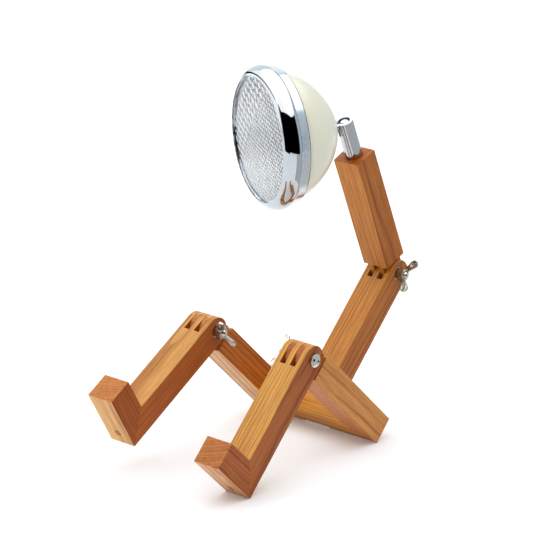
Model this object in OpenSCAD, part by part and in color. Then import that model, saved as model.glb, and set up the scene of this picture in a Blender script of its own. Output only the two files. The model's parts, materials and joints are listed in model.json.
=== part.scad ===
// Robot shaped desk lamp: wooden bars with finger joints at the knees and the waist, wing nuts
// that clamp them, and a round metal lamp head on a slotted ball joint.
// X runs across the robot, which faces -Y. Its left leg is on the +X side. Millimetres and degrees.

/* [Bars] */
// Width of every bar, across the joints
bar_w = 21; // [19:0.5:24]
// Thickness of every bar, front to back
bar_t = 19; // [17.5:0.5:22]
// Width over both legs
hip_w = 105; // [98:1:130]
// Sole of the foot to the knee bolt
shin_len = 99.5; // [92:0.5:112]
// Length of the sole, heel to toe
foot_len = 43; // [34:0.5:52]
// Rear face of the hips to the knee bolt
thigh_len = 102.5; // [94:0.5:115]
// Hip pin to the waist bolt
torso_len = 108.5; // [90:0.5:125]
// Waist bolt to the top of the chest
chest_len = 99.5; // [80:0.5:120]

/* [Pose] */
// Angle of the thighs above the table
thigh_rise = 43.9; // [38:0.1:48]
// Angle of the right shin above the table
right_shin_rise = 30.3; // [15:0.1:44]
// Angle of the torso above the table
torso_rise = 45.7; // [20:0.1:45.8]
// Angle of the chest, from level at the back, over the top, to the front
chest_rise = 112.8; // [70:0.1:125]
// Turn of the neck, to the robot's left
neck_turn = -27; // [-60:1:60]
// Angle from the neck to the way that the lamp head faces
head_tilt = 71.5; // [30:0.5:88]
// Turn of the left knee's wing nut
left_nut_turn = 45; // [0:5:180]
// Turn of the right knee's wing nut
right_nut_turn = 125; // [0:5:180]
// Turn of the waist's wing nut
waist_nut_turn = 52; // [0:5:180]

/* [Finger joints] */
// Free space between a knuckle and the shoulder or slot bottom that it turns in
knuckle_gap = 1.5; // [0.8:0.1:3]
// Free space on each side of a tongue
finger_play = 0.15; // [0.05:0.05:0.4]
// Half the thickness of the torso's tongues in the hips
hip_tongue_r = 6.5; // [5:0.25:7.5]
// Rounding of the thigh's upper corner at the knee
shoulder_round = 2.5; // [1:0.5:5]

/* [Bolts and wing nuts] */
// Thread diameter of the joint bolts, and of the hip pin
bolt_d = 5; // [4:0.5:5.5]
// Radial clearance round a bolt or pin
bore_play = 0.05; // [0.02:0.01:0.1]
// Diameter of a bolt head
bolt_head_d = 9.2; // [8.5:0.1:10]
// Height of a bolt head
bolt_head_h = 2.3; // [1.6:0.1:2.8]
// Diameter of the two driver holes in a bolt head
driver_hole_d = 1.8; // [1:0.1:2]
// Turn of the pair of driver holes from the bar's length
driver_turn = 70; // [0:5:180]
// Thickness of a washer
washer_t = 1; // [0.6:0.1:1.6]
// Outer diameter of a washer
washer_d = 9; // [8.8:0.1:10]
// Depth of the recess in the bar for a washer and the foot of its wing nut
nut_recess = 2; // [1.2:0.1:2.2]
// Height of a wing nut's hub
nut_h = 6.6; // [5.5:0.1:8]
// Diameter of a wing nut's hub
nut_d = 7.8; // [7:0.1:8.2]
// Distance from the bolt to the end of a wing
wing_reach = 12; // [10:0.1:13]
// Height of the end of a wing above the washer
wing_rise = 12.6; // [10.5:0.1:14]
// Thickness of a wing
wing_t = 1.7; // [1.2:0.1:2.4]
// Length of bolt that stands out of the nut
bolt_tip = 2; // [1:0.1:4]

/* [Foot and corner fixings] */
// Diameter of the wood plug in the sole
plug_d = 5; // [4.4:0.2:7]
// Length of the wood plug
plug_len = 4.5; // [3:0.5:5]
// Length of the screw in the heel
heel_screw_len = 38; // [25:1:45]
// Diameter of the screw in the heel
heel_screw_d = 2.6; // [2:0.1:3.2]
// Thickness of the loose tongue in each hip corner
spline_t = 3; // [2:0.5:3.5]
// Wood left beside the loose tongue at the faces of the bars
spline_cover = 1.5; // [0.8:0.1:4]

/* [Neck] */
// Outer diameter of the neck tube
neck_d = 12; // [11.4:0.2:13]
// Height of the ball's centre above the chest
ball_rise = 23.9; // [20:0.1:30]
// Height of the tube's end above the ball's centre
neck_lip = 4.6; // [4:0.1:5.2]
// Depth of the neck tube in the chest
neck_depth = 20; // [14:0.5:26]
// Wall of the neck tube
neck_wall = 1.2; // [1:0.05:1.4]
// Free space on each side of the stem in its slot
slot_play = 0.3; // [0.15:0.05:0.6]
// Length of the slot, from the tube's end
neck_slot_len = 10.2; // [9:0.1:12]
// Diameter of the stem between the ball and the lamp head
stem_d = 4.4; // [3.8:0.1:4.6]

/* [Lamp head] */
// Free space between the neck tube and the back of the shell
head_gap = 2.1; // [1.8:0.1:4]
// Depth of the painted shell's bowl
shell_depth = 38.6; // [36:0.2:46]
// Radius of the painted shell at its rim
shell_r = 44; // [42.5:0.1:46]
// Wall of the painted shell
shell_wall = 1.2; // [0.8:0.1:1.6]
// Roundness of the shell: 2 is an ellipse, less is nearer to a cone
shell_round = 1.6; // [1.5:0.05:2.2]
// Width of the flat trim band, front to back
band_len = 6.2; // [5:0.1:8]
// Distance that the trim band stands out from the shell's rim
band_step = 2.6; // [2:0.1:3.4]
// Thickness of the trim band's folded sheet
band_wall = 0.9; // [0.6:0.1:1.1]
// Distance that the bezel's widest part stands out from the shell's rim
bezel_proud = 4.8; // [4.2:0.1:7]
// Depth of the bezel, front to back
bezel_len = 11.6; // [11:0.1:13]
// Thickness of the bezel's sheet
bezel_wall = 1.1; // [0.8:0.1:1.4]
// Radius of the shell's rim less the radius of the lens that shows
lens_inset = 2.6; // [2.2:0.1:4]
// Rise of the lens at its middle
lens_crown = 3; // [1:0.1:5]
// Thickness of the lens at its edge
lens_t = 1.9; // [1.5:0.1:2.2]
// Diameter of the cord that the gland takes
cord_d = 5.2; // [4:0.1:5.4]

/* [Hidden] */
$fn = 64;
// How far a cut runs past the surface that it opens
overrun = 1;
// Layers that a finger joint is cut in: three fingers and two tongues
layers = 5;

// Bars and joints
finger_w = bar_w / layers;
tongue_w = finger_w - 2 * finger_play;
shoulder = bar_t / 2 + knuckle_gap;
leg_x = (hip_w - bar_w) / 2;
hip_back = bar_w - bar_t / 2;
knee_reach = thigh_len - hip_back;
hip_half = hip_w / 2 - bar_w;
knuckle_side = 0.5;
hip_slot_r = hip_tongue_r + knuckle_gap / 3;
hip_pin_len = hip_w - 2 * hip_back - bolt_d;
spline_w = (bar_w - 2 * spline_cover) / sqrt(2);

// The pose: the hips rest on their lower rear edge and the left foot on its heel
hip_z = hip_back * sin(thigh_rise) + bar_t / 2 * cos(thigh_rise);
knee_dy = -knee_reach * cos(thigh_rise);
knee_z = hip_z + knee_reach * sin(thigh_rise);
heel_arm = norm([shin_len, bar_t / 2]);
left_shin_rise = asin(knee_z / heel_arm) - atan2(bar_t / 2, shin_len);
waist_dy = torso_len * cos(torso_rise);
waist_z = hip_z + torso_len * sin(torso_rise);
ball_up = chest_len + ball_rise;
// How far sideways the lamp head faces, as a sine
head_yaw = sin(head_tilt) * sin(neck_turn);

// Depths along the lamp head's axis, from the ball's centre, and its radii
head_reach = neck_d / 2 + head_gap;
bezel_r = shell_r + bezel_proud;
lens_r = shell_r - lens_inset;
shell_rim = head_reach + shell_depth;
band_front = shell_rim + band_len;
bezel_widest = band_front + bezel_len * 0.24;
bezel_front = band_front + bezel_len;

// The origin is under the middle of the posed lamp, on the table
toe_dy = knee_dy - shin_len * cos(right_shin_rise) + (bar_t / 2 - foot_len) * sin(right_shin_rise);
back_dy = waist_dy + bar_t / 2;
hip_y = -(toe_dy + back_dy) / 2;
knee_y = hip_y + knee_dy;
waist_y = hip_y + waist_dy;
head_side = bezel_widest * head_yaw - bezel_r * sqrt(1 - head_yaw * head_yaw);
mid_x = -(head_side + hip_w / 2 + bolt_head_h) / 2;

// Bolts and wing nuts
bolt_bore_r = bolt_d / 2 + bore_play;
bolt_dome_r = bolt_head_d * 2;
driver_hole_at = bolt_head_d * 0.265;
nut_recess_r = washer_d / 2 + bore_play * 4;
washer_at = bar_w - nut_recess;
nut_seat = washer_at + washer_t;
bolt_end = nut_seat + nut_h + bolt_tip;
wing_tip_r = wing_reach / 4;
wing_tip = [wing_reach - wing_tip_r, wing_rise - wing_tip_r];
// Angles on the wing's round end where its straight sides meet it
wing_low_angle = -65;
wing_high_angle = 135;

// Neck
neck_bore_r = neck_d / 2 - neck_wall;
neck_foot_gap = 0.2;
neck_slot_w = stem_d + 2 * slot_play;
ball_r = neck_bore_r - bore_play * 2;
ball_seat_r = ball_r + bore_play;
neck_mouth_r = ball_r * 0.85;
cup_drop = ball_r * 0.68;
cup_len = ball_r;
spring_count = 4;
spring_t = 0.4;
spring_dish = 0.45;
spring_pitch = spring_t + spring_dish + bore_play;
spring_top = cup_drop + cup_len + bore_play;
neck_plug_top = spring_top + spring_count * spring_pitch;
neck_plug_len = 6;
groove_drop = neck_depth / 2;
groove_depth = neck_wall * 0.6;
set_screw_d = 3;
set_screw_sink = 0.5;
groove_half = set_screw_d / 2 + 2 * bore_play;
hex_sides = 6;

// Stem and its nut inside the shell
collar_r = stem_d * 0.77;
collar_t = 0.7;
stem_washer_r = stem_d;
stem_washer_t = 1;
stem_washer_at = head_reach + shell_wall + stem_washer_t * 0.9;
stem_nut_r = stem_d * 0.95;
stem_nut_t = 3.2;
stem_end = stem_washer_at + stem_washer_t + stem_nut_t + stem_washer_t;

// Lens, reflector and the rings that hold them
seal_t = 0.5;
collar_front = band_front + bezel_wall * 1.4;
bezel_back_r = shell_r + band_step + bezel_wall;
bezel_lip_r = lens_r + bezel_wall;
lens_flange_r = lens_r + bezel_wall * 2.3;
lens_front = bezel_front - bezel_wall * 1.6;
lens_step = lens_front - lens_t * 0.45;
lens_back = lens_step - lens_t;
lens_steps = 10;
gasket_t = 0.8;
reflector_wall = 0.8;
reflector_front = lens_back - gasket_t;
reflector_r = lens_r - reflector_wall;
retainer_t = 0.8;
retainer_w = 5;
retainer_front = reflector_front - reflector_wall;
reflector_neck_r = 12.5;

// Dimmer, heat sink and LED, one in front of the other from the stem's end
board_gap = 2.6;
dimmer_t = 1.6;
dimmer_back = stem_end + board_gap;
dimmer_front = dimmer_back + dimmer_t;
coil_r = 4;
coil_h = 2.8;
chip_w = 5;
chip_h = 1.4;
fin_gap = 1.2;
sink_r = reflector_neck_r * 1.2;
sink_core_r = sink_r * 0.37;
sink_base_t = 3;
sink_fin_len = 5;
sink_fin_t = 1.2;
sink_fins = 9;
dimmer_r = sink_r * 0.93;
component_at = dimmer_r * 0.68;
spacer_r = 1.6;
spacer_at = sink_r * 0.75;
spacer_len = fin_gap + sink_fin_len;
lead_r = 0.6;
lead_at = (sink_core_r + spacer_at) * 0.45;
sink_base = dimmer_front + spacer_len;
sink_face = sink_base + sink_base_t;
led_board_t = 1.2;
led_board_r = reflector_neck_r - reflector_wall;
led_face = sink_face + led_board_t;
emitter_r = 3.6;
emitter_hole_r = emitter_r * 1.8;
reflector_flat = led_face + reflector_wall;
led_screws = 3;
led_screw_d = 2.2;
led_screw_at = (emitter_hole_r + reflector_neck_r) / 2;
led_screw_len = reflector_wall + led_board_t + sink_base_t * 0.85;

// Cord gland in the back of the shell
gland_turn = 200;
gland_share = 0.59;
gland_body_r = cord_d / 2 + 1.4;
gland_flange_r = gland_body_r + 2;
gland_flange_t = 1.6;
gland_boss = 2.4;
gland_inside = 6;
gland_nut_t = 2.4;
gland_nut_gap = 0.8;

// Colours, as the finished pieces have them
wood_light = "#c98f4e";
wood_dark = "#a9703c";
steel = "#b9bcbd";
chrome = "#d5dadd";
cream = "#e9e6d5";
silver = "#c4c8ca";

// Places: each module holds what rides on one body, in that body's own frame

// Hips: y runs down the thighs to the rear, z is square to them, the hip pin is at the origin
module in_hips() {
    translate([mid_x, hip_y, hip_z]) rotate([-thigh_rise, 0, 0]) children();
}

// Torso: y runs up the torso from the hip pin
module in_torso() {
    translate([mid_x, hip_y, hip_z]) rotate([torso_rise, 0, 0]) children();
}

// Chest: y runs up the chest from the waist bolt, z is its front
module in_chest() {
    translate([mid_x, waist_y, waist_z]) rotate([chest_rise, 0, 0]) children();
}

// Neck: z runs up the neck from the ball's centre, and the slot is on the -Y side
module in_neck() {
    in_chest() translate([0, ball_up, 0]) rotate([0, neck_turn, 0]) rotate([-90, 0, 0]) children();
}

// Lamp head: z is the way that it faces, from the ball's centre
module in_head() {
    in_chest() translate([0, ball_up, 0]) rotate([0, neck_turn, 0])
        rotate([head_tilt - 90, 0, 0]) children();
}

// Legs: y runs up the shin to the knee bolt, z is the way that the toe points, +X is outwards
module in_left_leg() {
    translate([mid_x + leg_x, knee_y, knee_z]) rotate([left_shin_rise, 0, 0]) children();
}

module in_right_leg() {
    translate([mid_x - leg_x, knee_y, knee_z]) rotate([right_shin_rise, 0, 0])
        mirror([1, 0, 0]) children();
}

// A bolt's own frame: z runs from the face under its head to its tip
module on_knee() {
    translate([bar_w / 2, 0, 0]) rotate([0, -90, 0]) children();
}

module on_waist() {
    translate([-bar_w / 2, 0, 0]) rotate([0, 90, 0]) children();
}

// Shared shapes

// Stands a side view up: its x becomes Y and its y becomes Z
module side_plate(width) {
    rotate([90, 0, 90]) linear_extrude(width, center = true) children();
}

// A hole or pin across a bar
module cross_cylinder(radius, length) {
    rotate([0, 90, 0]) cylinder(r = radius, h = length, center = true);
}

// Slots between the three fingers of a knuckle whose bolt is at the origin
module finger_slots() {
    for (side = [-1, 1])
        translate([side * finger_w, 0, 0]) side_plate(finger_w)
            translate([-shoulder, -bar_t]) square([shoulder + bar_t, 2 * bar_t]);
}

// Two round-ended tongues that run from a bolt at the origin to a bar along +Y
module tongues(radius) {
    for (side = [-1, 1])
        translate([side * finger_w, 0, 0]) side_plate(tongue_w) {
            circle(r = radius);
            translate([0, -radius]) square([shoulder + overrun, 2 * radius]);
        }
}

// The recess for the washer and the nut's foot, in the bolt's frame
module nut_recess_cut() {
    translate([0, 0, washer_at]) cylinder(r = nut_recess_r, h = nut_recess + overrun);
}

module bolt() {
    difference() {
        union() {
            intersection() {
                translate([0, 0, -bolt_head_h]) cylinder(d = bolt_head_d, h = bolt_head_h);
                translate([0, 0, bolt_dome_r - bolt_head_h]) sphere(r = bolt_dome_r);
            }
            translate([0, 0, -bolt_head_h / 2])
                cylinder(d = bolt_d, h = bolt_end - bolt_d / 2 + bolt_head_h / 2);
            translate([0, 0, bolt_end - bolt_d / 2]) sphere(d = bolt_d);
        }
        rotate([0, 0, driver_turn]) for (side = [-1, 1])
            translate([0, side * driver_hole_at, -bolt_head_h - overrun])
                cylinder(d = driver_hole_d, h = bolt_head_h * 0.75 + overrun);
    }
}

module washer() {
    translate([0, 0, washer_at]) difference() {
        cylinder(d = washer_d, h = washer_t);
        translate([0, 0, -overrun]) cylinder(r = bolt_bore_r, h = washer_t + 2 * overrun);
    }
}

// Outline of one wing: the hub is on the left
module wing_outline() {
    translate(wing_tip) circle(r = wing_tip_r);
    polygon([[nut_d / 4, nut_h * 0.5],
        wing_tip + wing_tip_r * [cos(wing_low_angle), sin(wing_low_angle)],
        wing_tip + wing_tip_r * [cos(wing_high_angle), sin(wing_high_angle)],
        [nut_d / 4, nut_h]]);
}

module wing_nut(turn) {
    translate([0, 0, nut_seat]) rotate([0, 0, turn]) difference() {
        union() {
            cylinder(d = nut_d, h = nut_h);
            for (half = [0, 180])
                rotate([0, 0, half]) rotate([90, 0, 0])
                    linear_extrude(wing_t, center = true) wing_outline();
        }
        translate([0, 0, -overrun]) cylinder(r = bolt_bore_r, h = nut_h + wing_rise);
    }
}

// Hips

// Loose tongue across the mitre of one corner
module corner_spline(side, size, thickness) {
    translate([side * (hip_w - bar_w) / 2, hip_back - bar_w / 2, -(bolt_d / 2 + spline_t)])
        rotate([0, 0, 45]) cube([size, size, thickness], center = true);
}

module spline_slots() {
    for (side = [-1, 1])
        corner_spline(side, spline_w + 2 * bore_play, spline_t + 2 * bore_play);
}

// The middle of the crossbar is a knuckle, so that the torso can swing to the rear
module hip_knuckle_cut() {
    side_plate(bar_w + 2 * knuckle_side) difference() {
        translate([0, -bar_t]) square([hip_back + bar_t, 2 * bar_t]);
        circle(d = bar_t);
        translate([-bar_t, -bar_t]) square([1.5 * bar_t, bar_t]);
    }
    for (side = [-1, 1])
        translate([side * finger_w, 0, 0]) side_plate(finger_w) {
            circle(r = hip_slot_r);
            translate([0, -hip_slot_r]) square([bar_w, bar_t]);
            translate([-hip_slot_r, 0]) square([bar_w, bar_t]);
        }
}

module hip_crossbar() {
    color(wood_dark) in_hips() difference() {
        linear_extrude(bar_t, center = true)
            polygon([[-hip_w / 2, hip_back], [hip_w / 2, hip_back],
                [hip_half, hip_back - bar_w], [-hip_half, hip_back - bar_w]]);
        hip_knuckle_cut();
        cross_cylinder(bolt_bore_r, hip_w);
        spline_slots();
    }
}

module thigh(side) {
    difference() {
        union() {
            linear_extrude(bar_t, center = true)
                polygon([[side * hip_w / 2, hip_back], [side * hip_half, hip_back - bar_w],
                    [side * hip_half, shoulder - knee_reach],
                    [side * hip_w / 2, shoulder - knee_reach]]);
            translate([side * leg_x, -knee_reach, 0]) tongues(bar_t / 2);
        }
        spline_slots();
        translate([side * leg_x, -knee_reach, 0]) cross_cylinder(bolt_bore_r, 2 * bar_w);
        for (tongue = [-1, 0, 1])
            translate([side * leg_x + tongue * 2 * finger_w, -knee_reach, 0])
                side_plate(finger_w + 2 * finger_play) translate([shoulder, bar_t / 2])
                    difference() {
                        translate([-overrun, -shoulder_round])
                            square(shoulder_round + overrun);
                        translate([shoulder_round, -shoulder_round])
                            circle(r = shoulder_round);
                    }
    }
}

module left_thigh() {
    color(wood_light) in_hips() thigh(1);
}

module right_thigh() {
    color(wood_light) in_hips() thigh(-1);
}

module hip_pin() {
    color(steel) in_hips() cross_cylinder(bolt_d / 2, hip_pin_len);
}

module hip_corner_splines() {
    color(wood_dark) in_hips() for (side = [-1, 1]) corner_spline(side, spline_w, spline_t);
}

// Legs

// The screw's path up the shin from the sole, with the plug's pocket
module heel_screw_cut() {
    translate([0, -shin_len - overrun, 0]) rotate([-90, 0, 0]) {
        cylinder(d = plug_d, h = plug_len + heel_screw_d + overrun);
        cylinder(r = heel_screw_d / 2 + bore_play, h = plug_len + heel_screw_len + overrun);
    }
}

module shin() {
    difference() {
        union() {
            side_plate(bar_w) polygon([[-shin_len, -bar_t / 2], [bar_t - shin_len, bar_t / 2],
                [0, bar_t / 2], [0, -bar_t / 2]]);
            cross_cylinder(bar_t / 2, bar_w);
        }
        finger_slots();
        cross_cylinder(bolt_bore_r, 2 * bar_w);
        on_knee() nut_recess_cut();
        heel_screw_cut();
    }
}

module foot() {
    difference() {
        side_plate(bar_w) polygon([[-shin_len, -bar_t / 2], [-shin_len, foot_len - bar_t / 2],
            [bar_t - shin_len, foot_len - bar_t / 2], [bar_t - shin_len, bar_t / 2]]);
        heel_screw_cut();
    }
}

module heel_screw() {
    translate([0, plug_len - shin_len, 0]) rotate([-90, 0, 0]) {
        cylinder(d1 = plug_d - 4 * bore_play, d2 = heel_screw_d, h = heel_screw_d - bore_play);
        cylinder(d = heel_screw_d, h = heel_screw_len - heel_screw_d);
        translate([0, 0, heel_screw_len - heel_screw_d])
            cylinder(d1 = heel_screw_d, d2 = heel_screw_d / 4, h = heel_screw_d);
    }
}

module heel_plug() {
    translate([0, -shin_len, 0]) rotate([-90, 0, 0]) cylinder(d = plug_d, h = plug_len);
}

module left_shin() {
    color(wood_light) in_left_leg() shin();
}

module left_foot() {
    color(wood_dark) in_left_leg() foot();
}

module left_heel_screw() {
    color(steel) in_left_leg() heel_screw();
}

module left_heel_plug() {
    color(wood_dark) in_left_leg() heel_plug();
}

module left_knee_bolt() {
    color(steel) in_left_leg() on_knee() bolt();
}

module left_knee_washer() {
    color(steel) in_left_leg() on_knee() washer();
}

module left_wing_nut() {
    color(silver) in_left_leg() on_knee() wing_nut(90 - left_nut_turn + left_shin_rise);
}

module right_shin() {
    color(wood_light) in_right_leg() shin();
}

module right_foot() {
    color(wood_dark) in_right_leg() foot();
}

module right_heel_screw() {
    color(steel) in_right_leg() heel_screw();
}

module right_heel_plug() {
    color(wood_dark) in_right_leg() heel_plug();
}

module right_knee_bolt() {
    color(steel) in_right_leg() on_knee() bolt();
}

module right_knee_washer() {
    color(steel) in_right_leg() on_knee() washer();
}

module right_wing_nut() {
    color(silver) in_right_leg() on_knee() wing_nut(90 - right_nut_turn + right_shin_rise);
}

// Torso and chest

module torso() {
    color(wood_light) in_torso() difference() {
        union() {
            side_plate(bar_w) {
                translate([shoulder, -bar_t / 2]) square([torso_len - shoulder, bar_t]);
                translate([torso_len, 0]) circle(d = bar_t);
            }
            tongues(hip_tongue_r);
        }
        cross_cylinder(bolt_bore_r, 2 * bar_w);
        translate([0, torso_len, 0]) {
            finger_slots();
            cross_cylinder(bolt_bore_r, 2 * bar_w);
            on_waist() nut_recess_cut();
        }
    }
}

module waist_bolt() {
    color(steel) in_torso() translate([0, torso_len, 0]) on_waist() bolt();
}

module waist_washer() {
    color(steel) in_torso() translate([0, torso_len, 0]) on_waist() washer();
}

module waist_wing_nut() {
    color(silver) in_torso() translate([0, torso_len, 0]) on_waist()
        wing_nut(90 + waist_nut_turn - torso_rise);
}

module chest() {
    color(wood_light) in_chest() difference() {
        union() {
            side_plate(bar_w) translate([shoulder, -bar_t / 2])
                square([chest_len - shoulder, bar_t]);
            tongues(bar_t / 2);
        }
        cross_cylinder(bolt_bore_r, 2 * bar_w);
        translate([0, chest_len - neck_depth - neck_foot_gap, 0]) rotate([-90, 0, 0])
            cylinder(r = neck_d / 2 + bore_play, h = neck_depth + neck_foot_gap + overrun);
        translate([0, chest_len - groove_drop, 0]) rotate([180, 0, 0])
            cylinder(r = set_screw_d / 2 + bore_play, h = bar_t);
    }
}

module neck_set_screw() {
    tip = neck_d / 2 - groove_depth + bore_play * 2;
    length = bar_t / 2 - set_screw_sink - tip;
    color(steel) in_chest() translate([0, chest_len - groove_drop, 0]) rotate([180, 0, 0])
        translate([0, 0, tip]) difference() {
            cylinder(d = set_screw_d, h = length);
            translate([0, 0, length / 2]) cylinder(d = set_screw_d * 0.55, h = length, $fn = hex_sides);
        }
}

// Neck

module neck_tube() {
    bottom = -ball_rise - neck_depth;
    groove_z = -ball_rise - groove_drop;
    color(chrome) in_neck() difference() {
        translate([0, 0, bottom]) cylinder(d = neck_d, h = neck_lip - bottom);
        translate([0, 0, bottom - overrun]) cylinder(r = neck_bore_r, h = overrun - bottom);
        sphere(r = ball_seat_r);
        cylinder(r = neck_mouth_r, h = neck_lip + overrun);
        translate([-neck_slot_w / 2, -neck_d, neck_lip - neck_slot_len + neck_slot_w / 2])
            cube([neck_slot_w, neck_d, neck_slot_len]);
        translate([0, 0, neck_lip - neck_slot_len + neck_slot_w / 2]) rotate([90, 0, 0])
            cylinder(d = neck_slot_w, h = neck_d);
        translate([0, 0, groove_z]) rotate_extrude()
            translate([neck_d / 2 - groove_depth, -groove_half])
                square([groove_depth + overrun, 2 * groove_half]);
    }
}

module ball_cup() {
    color("#e8e8e4") in_neck() difference() {
        translate([0, 0, -cup_drop - cup_len]) cylinder(r = neck_bore_r - bore_play, h = cup_len);
        sphere(r = ball_seat_r);
    }
}

module disc_springs() {
    inner = neck_bore_r * 0.5;
    outer = neck_bore_r - 2 * bore_play;
    color(steel) in_neck() for (i = [0 : spring_count - 1])
        translate([0, 0, -spring_top - (i + 1) * spring_pitch]) rotate_extrude()
            polygon(i % 2 == 0
                ? [[inner, spring_dish], [outer, 0], [outer, spring_t],
                    [inner, spring_t + spring_dish]]
                : [[inner, 0], [outer, spring_dish], [outer, spring_t + spring_dish],
                    [inner, spring_t]]);
}

module neck_plug() {
    color(steel) in_neck() translate([0, 0, -neck_plug_top - neck_plug_len]) difference() {
        cylinder(r = neck_bore_r - bore_play, h = neck_plug_len);
        translate([0, 0, -overrun])
            cylinder(r = neck_bore_r / 2, h = neck_plug_len / 2 + overrun, $fn = hex_sides);
    }
}

// Stem

module ball_stem() {
    color(chrome) in_head() {
        sphere(r = ball_r);
        cylinder(d = stem_d, h = stem_end);
        translate([0, 0, head_reach - collar_t]) cylinder(r = collar_r, h = collar_t);
    }
}

module stem_washer() {
    color(steel) in_head() translate([0, 0, stem_washer_at]) difference() {
        cylinder(r = stem_washer_r, h = stem_washer_t);
        translate([0, 0, -overrun])
            cylinder(r = stem_d / 2 + bore_play, h = stem_washer_t + 2 * overrun);
    }
}

module stem_nut() {
    color(steel) in_head() translate([0, 0, stem_washer_at + stem_washer_t]) difference() {
        cylinder(r = stem_nut_r, h = stem_nut_t, $fn = hex_sides);
        translate([0, 0, -overrun])
            cylinder(r = stem_d / 2 + bore_play, h = stem_nut_t + 2 * overrun);
    }
}

// Lamp head: every ring is an outline of radius and depth, turned about the head's axis

// Points of the bowl, from the back pole to the rim
bowl_steps = 24;
function bowl(radius, depth) = [for (i = [0 : bowl_steps])
    let (a = 90 * (1 - i / bowl_steps))
    [radius * pow(cos(a), 2 / shell_round), shell_rim - depth * pow(sin(a), 2 / shell_round)]];

function reversed(points) = [for (i = [len(points) - 1 : -1 : 0]) points[i]];

// Points of an arc, from one angle to another
function arc(centre, radius, from, to, steps) =
    [for (i = [0 : steps]) let (a = from + (to - from) * i / steps)
        centre + radius * [cos(a), sin(a)]];

module turned(points) {
    rotate_extrude() polygon(points);
}

// The gland's place: a point of the bowl, and the way that the shell faces there
gland_depth = shell_depth * gland_share;
gland_r = shell_r * pow(1 - pow(gland_share, shell_round), 1 / shell_round);
gland_lean = atan2(pow(gland_r / shell_r, shell_round - 1) / shell_r,
    pow(gland_share, shell_round - 1) / shell_depth);

module at_gland() {
    in_head() rotate([0, 0, gland_turn]) translate([gland_r, 0, shell_rim - gland_depth])
        rotate([0, 180 - gland_lean, 0]) children();
}

module head_shell() {
    inner_r = shell_r - shell_wall;
    color(cream) difference() {
        in_head() turned(concat(bowl(shell_r, shell_depth), [[shell_r, collar_front],
            [inner_r, collar_front]], reversed(bowl(inner_r, shell_depth - shell_wall))));
        in_head() cylinder(r = stem_d / 2 + 2 * bore_play, h = stem_end);
        at_gland() translate([0, 0, -gland_inside])
            cylinder(r = gland_body_r + bore_play, h = gland_inside + gland_flange_t);
    }
}

module shell_seal() {
    color("#2b2b2b") in_head() translate([0, 0, shell_rim - seal_t]) difference() {
        cylinder(r = shell_r + band_step - seal_t, h = seal_t);
        translate([0, 0, -overrun]) cylinder(r = shell_r + bore_play, h = seal_t + 2 * overrun);
    }
}

// The band is folded sheet, open towards the shell's collar
module trim_band() {
    seat_r = shell_r + bore_play;
    outer_r = shell_r + band_step;
    color(silver) in_head() turned([[seat_r, shell_rim], [outer_r, shell_rim],
        [bezel_back_r, band_front], [seat_r, band_front], [seat_r, band_front - band_wall],
        [bezel_back_r - band_wall, band_front - band_wall],
        [outer_r - band_wall, shell_rim + band_wall], [seat_r, shell_rim + band_wall]]);
}

// Outline of the bezel's outside, from the trim band round the widest part to the front lip
bezel_bulge = bezel_widest - band_front;
bezel_drop = bezel_r - bezel_back_r;
bezel_small_r = (bezel_drop * bezel_drop + bezel_bulge * bezel_bulge) / (2 * bezel_drop);
bezel_big_rise = bezel_front - bezel_widest;
bezel_fall = bezel_r - bezel_lip_r;
bezel_big_r = (bezel_fall * bezel_fall + bezel_big_rise * bezel_big_rise) / (2 * bezel_fall);
bezel_steps = 10;
function bezel_side(offset) = concat(
    arc([bezel_r - bezel_small_r, bezel_widest], bezel_small_r - offset,
        -asin(bezel_bulge / bezel_small_r), 0, bezel_steps),
    arc([bezel_r - bezel_big_r, bezel_widest], bezel_big_r - offset,
        90 / (bezel_steps * bezel_steps), asin(bezel_big_rise / bezel_big_r), 2 * bezel_steps));

module bezel() {
    seat_r = shell_r + bore_play;
    back = band_front + bezel_wall;
    inner = [for (p = bezel_side(bezel_wall)) if (p[1] > back) p];
    color(chrome) in_head() turned(concat([[seat_r, band_front]], bezel_side(0),
        [[bezel_lip_r, lens_front], [bezel_lip_r + bezel_wall * 0.7, lens_front]],
        reversed(inner), [[inner[0][0], back], [seat_r, back]]));
}

module lens_ring() {
    color(silver) in_head() translate([0, 0, lens_step]) difference() {
        cylinder(r = bezel_lip_r + bezel_wall, h = lens_front - lens_step);
        translate([0, 0, -overrun])
            cylinder(r = lens_r + bore_play, h = lens_front - lens_step + 2 * overrun);
    }
}

module lens() {
    crown_r = (lens_r * lens_r + lens_crown * lens_crown) / (2 * lens_crown);
    color("#dfe8ea", 0.5) in_head() turned(concat([[0, lens_back], [lens_flange_r, lens_back],
        [lens_flange_r, lens_step], [lens_r, lens_step]],
        arc([0, lens_front + lens_crown - crown_r], crown_r, acos(lens_r / crown_r), 90, lens_steps)));
}

module lens_gasket() {
    color("#303030") in_head() translate([0, 0, reflector_front]) difference() {
        cylinder(r = lens_flange_r, h = gasket_t);
        translate([0, 0, -overrun]) cylinder(r = lens_r, h = gasket_t + 2 * overrun);
    }
}

// A ring pressed into the bezel behind the reflector's rim
module retaining_ring() {
    inside_r = bezel_r - bezel_big_r + sqrt(pow(bezel_big_r - bezel_wall, 2)
        - pow(retainer_front - bezel_widest, 2)) - bore_play * 2;
    color(steel) in_head() translate([0, 0, retainer_front - retainer_t]) difference() {
        cylinder(r = inside_r, h = retainer_t);
        translate([0, 0, -overrun])
            cylinder(r = inside_r - retainer_w, h = retainer_t + 2 * overrun);
    }
}

// Points of the reflector's bowl, from its flat base to its front
reflector_steps = 14;
function reflector_side(offset) = [for (i = [0 : reflector_steps])
    let (r = reflector_neck_r + (reflector_r - reflector_neck_r) * i / reflector_steps,
        share = (r * r - reflector_neck_r * reflector_neck_r)
            / (reflector_r * reflector_r - reflector_neck_r * reflector_neck_r))
    [r + offset, reflector_flat + (reflector_front - reflector_flat) * share - offset]];

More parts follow.
